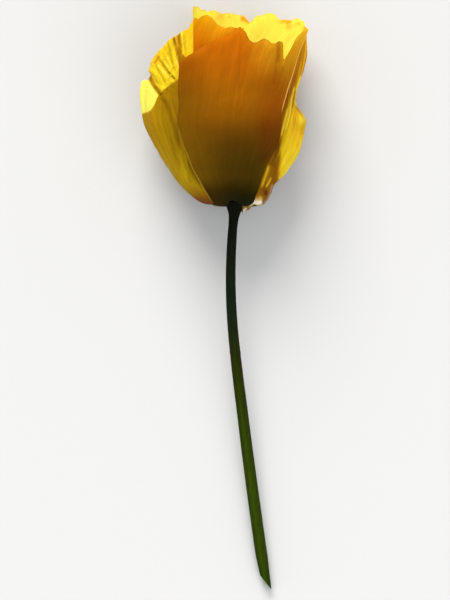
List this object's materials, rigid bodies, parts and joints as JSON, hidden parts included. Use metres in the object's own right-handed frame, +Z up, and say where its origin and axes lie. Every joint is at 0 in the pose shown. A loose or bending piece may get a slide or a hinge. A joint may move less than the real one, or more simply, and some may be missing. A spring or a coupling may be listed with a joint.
{
  "type": "poppy flower",
  "caption": "Cut yellow poppy lying on its side: a closed cup of overlapping petals with stamens and pistil inside, on a long bare bent stem with a slanted cut.",
  "frame": {"origin": "on the surface the flower lies on, under the middle of the flower's box", "axes": "+Z up from the surface, +Y along the flower towards the cup's mouth, -Y towards the stem's cut end"},
  "size_m": [0.0423, 0.1464, 0.0361],
  "materials": {
    "petal_outer": "satin, veined",
    "petal_inner": "satin, veined",
    "stem_green": "waxy, faintly ridged",
    "pistil_green": "waxy, ribbed",
    "pollen": "powdery"
  },
  "bodies": {
    "root": {"stem": "stem_green", "front_petal": "petal_outer", "back_petal": "petal_outer", "left_petal": "petal_inner", "right_petal": "petal_inner", "pistil": "pistil_green", "stamen_01": "pollen", "stamen_02": "pollen", "stamen_03": "pollen", "stamen_04": "pollen", "stamen_05": "pollen", "stamen_06": "pollen", "stamen_07": "pollen", "stamen_08": "pollen", "stamen_09": "pollen", "stamen_10": "pollen", "stamen_11": "pollen", "stamen_12": "pollen", "stamen_13": "pollen", "stamen_14": "pollen", "stamen_15": "pollen", "stamen_16": "pollen", "stamen_17": "pollen", "stamen_18": "pollen", "stamen_19": "pollen", "stamen_20": "pollen", "stamen_21": "pollen", "stamen_22": "pollen", "stamen_23": "pollen", "stamen_24": "pollen", "stamen_25": "pollen", "stamen_26": "pollen", "stamen_27": "pollen", "stamen_28": "pollen"}
  },
  "joints": []
}
